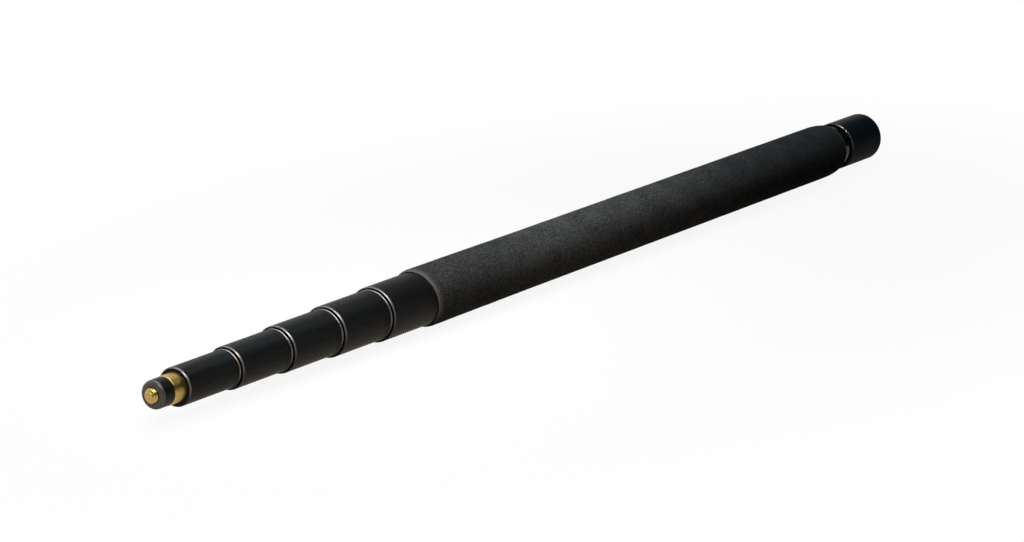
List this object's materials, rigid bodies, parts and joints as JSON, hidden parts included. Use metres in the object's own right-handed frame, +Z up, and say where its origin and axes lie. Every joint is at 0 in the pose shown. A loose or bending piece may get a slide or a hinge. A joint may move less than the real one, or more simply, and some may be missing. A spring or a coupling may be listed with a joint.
{
  "type": "boom pole",
  "caption": "Telescoping microphone boom pole with knurled twist-lock collars, a foam grip, a screwed end cap and a threaded brass stud with a lock nut.",
  "frame": {"origin": "centre of the end cap's flat butt face, on the pole's axis", "axes": "+X along the pole from the butt to the microphone stud, +Z up with the pole lying on its grip"},
  "size_m": [0.8415, 0.0394, 0.0394],
  "materials": {
    "black_anodised": "satin",
    "gloss_anodised": "gloss",
    "foam": "matte",
    "brass": "satin",
    "acetal": "satin",
    "alloy": "satin",
    "rubber": "matte"
  },
  "bodies": {
    "handle": {"tube_1": "gloss_anodised", "foam_grip": "foam", "ferrule_1": "alloy", "butt_plug": "alloy"},
    "butt_seal": {"cap_seal": "rubber"},
    "butt_cap": {"end_cap": "black_anodised"},
    "collet_ring_1": {"collet_1": "acetal"},
    "twist_collar_1": {"lock_collar_1": "black_anodised"},
    "section_2": {"tube_2": "gloss_anodised", "guide_bush_2": "acetal", "ferrule_2": "alloy"},
    "collet_ring_2": {"collet_2": "acetal"},
    "twist_collar_2": {"lock_collar_2": "black_anodised"},
    "section_3": {"tube_3": "gloss_anodised", "guide_bush_3": "acetal", "ferrule_3": "alloy"},
    "collet_ring_3": {"collet_3": "acetal"},
    "twist_collar_3": {"lock_collar_3": "black_anodised"},
    "section_4": {"tube_4": "gloss_anodised", "guide_bush_4": "acetal", "ferrule_4": "alloy"},
    "collet_ring_4": {"collet_4": "acetal"},
    "twist_collar_4": {"lock_collar_4": "black_anodised"},
    "section_5": {"tube_5": "gloss_anodised", "guide_bush_5": "acetal", "tip_sleeve": "black_anodised", "tip_fitting": "brass"},
    "tip_nut": {"lock_nut": "black_anodised"}
  },
  "joints": [
    {"name": "collet_1_shift", "type": "slide", "parent": "handle", "child": "collet_ring_1", "axis": [1, 0, 0], "range_m": [0, 0.00076]},
    {"name": "collar_1_twist", "type": "hinge", "parent": "collet_ring_1", "child": "twist_collar_1", "pos_m": [0.619, 0, 0], "axis": [1, 0, 0], "range_deg": [0, 180]},
    {"name": "section_2_slide", "type": "slide", "parent": "handle", "child": "section_2", "axis": [1, 0, 0], "range_m": [0, 0.54]},
    {"name": "collet_2_shift", "type": "slide", "parent": "section_2", "child": "collet_ring_2", "axis": [1, 0, 0], "range_m": [0, 0.00076]},
    {"name": "collar_2_twist", "type": "hinge", "parent": "collet_ring_2", "child": "twist_collar_2", "pos_m": [0.6685, 0, 0], "axis": [1, 0, 0], "range_deg": [0, 180]},
    {"name": "section_3_slide", "type": "slide", "parent": "section_2", "child": "section_3", "axis": [1, 0, 0], "range_m": [0, 0.54]},
    {"name": "collet_3_shift", "type": "slide", "parent": "section_3", "child": "collet_ring_3", "axis": [1, 0, 0], "range_m": [0, 0.00076]},
    {"name": "collar_3_twist", "type": "hinge", "parent": "collet_ring_3", "child": "twist_collar_3", "pos_m": [0.718, 0, 0], "axis": [1, 0, 0], "range_deg": [0, 180]},
    {"name": "section_4_slide", "type": "slide", "parent": "section_3", "child": "section_4", "axis": [1, 0, 0], "range_m": [0, 0.54]},
    {"name": "collet_4_shift", "type": "slide", "parent": "section_4", "child": "collet_ring_4", "axis": [1, 0, 0], "range_m": [0, 0.00076]},
    {"name": "collar_4_twist", "type": "hinge", "parent": "collet_ring_4", "child": "twist_collar_4", "pos_m": [0.7675, 0, 0], "axis": [1, 0, 0], "range_deg": [0, 180]},
    {"name": "section_5_slide", "type": "slide", "parent": "section_4", "child": "section_5", "axis": [1, 0, 0], "range_m": [0, 0.54]},
    {"name": "tip_nut_twist", "type": "hinge", "parent": "section_5", "child": "tip_nut", "pos_m": [0.8271, 0, 0], "axis": [1, 0, 0], "range_deg": [0, 360]},
    {"name": "cap_shift", "type": "slide", "parent": "handle", "child": "butt_seal", "axis": [-1, 0, 0], "range_m": [0, 0.00605]},
    {"name": "cap_twist", "type": "hinge", "parent": "butt_seal", "child": "butt_cap", "pos_m": [0, 0, 0], "axis": [-1, 0, 0], "range_deg": [0, 1440]}
  ],
  "couplings": [
    {"joint": "collet_1_shift", "follows": "collar_1_twist", "m_per_rad": 0.00023873},
    {"joint": "collet_2_shift", "follows": "collar_2_twist", "m_per_rad": 0.00023873},
    {"joint": "collet_3_shift", "follows": "collar_3_twist", "m_per_rad": 0.00023873},
    {"joint": "collet_4_shift", "follows": "collar_4_twist", "m_per_rad": 0.00023873},
    {"joint": "cap_shift", "follows": "cap_twist", "m_per_rad": 0.00023873}
  ]
}
